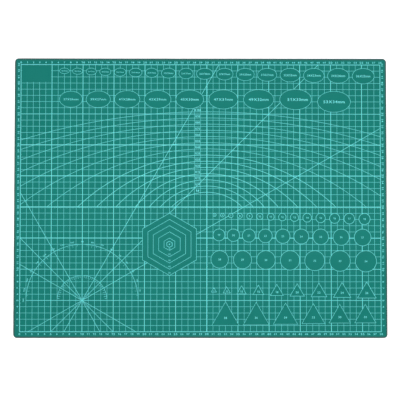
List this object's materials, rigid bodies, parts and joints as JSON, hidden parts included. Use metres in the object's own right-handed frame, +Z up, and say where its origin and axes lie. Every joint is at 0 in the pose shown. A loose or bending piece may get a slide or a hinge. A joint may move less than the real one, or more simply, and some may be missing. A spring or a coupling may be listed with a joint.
{
  "type": "craft cutting mat",
  "caption": "Flat self-healing sheet of bonded plies to cut on, printed with a centimetre grid, circle, ellipse, triangle and hexagon templates, radius arcs and a protractor.",
  "frame": {"origin": "centre of the underside, which rests on the table", "axes": "+X along the long side, to the right as the printed layout is read; +Y across the mat, towards the ellipse templates; +Z up, out of the printed face"},
  "size_m": [0.6, 0.45, 0.003],
  "materials": {
    "green_skin": "fine-grained matt PVC",
    "tie_ply": "matt PVC, seen only at the cut edge",
    "grey_core": "matt rigid PVC, seen only at the cut edge",
    "aqua_ink": "satin screen-printing ink"
  },
  "bodies": {
    "root": {"top_skin": "green_skin", "upper_tie_ply": "tie_ply", "core_board": "grey_core", "lower_tie_ply": "tie_ply", "bottom_skin": "green_skin", "grid_print": "aqua_ink", "radius_and_angle_print": "aqua_ink", "hexagon_print_40mm": "aqua_ink", "hexagon_print_30mm": "aqua_ink", "hexagon_print_20mm": "aqua_ink", "hexagon_print_10mm": "aqua_ink", "hexagon_print_5mm": "aqua_ink"}
  },
  "joints": []
}
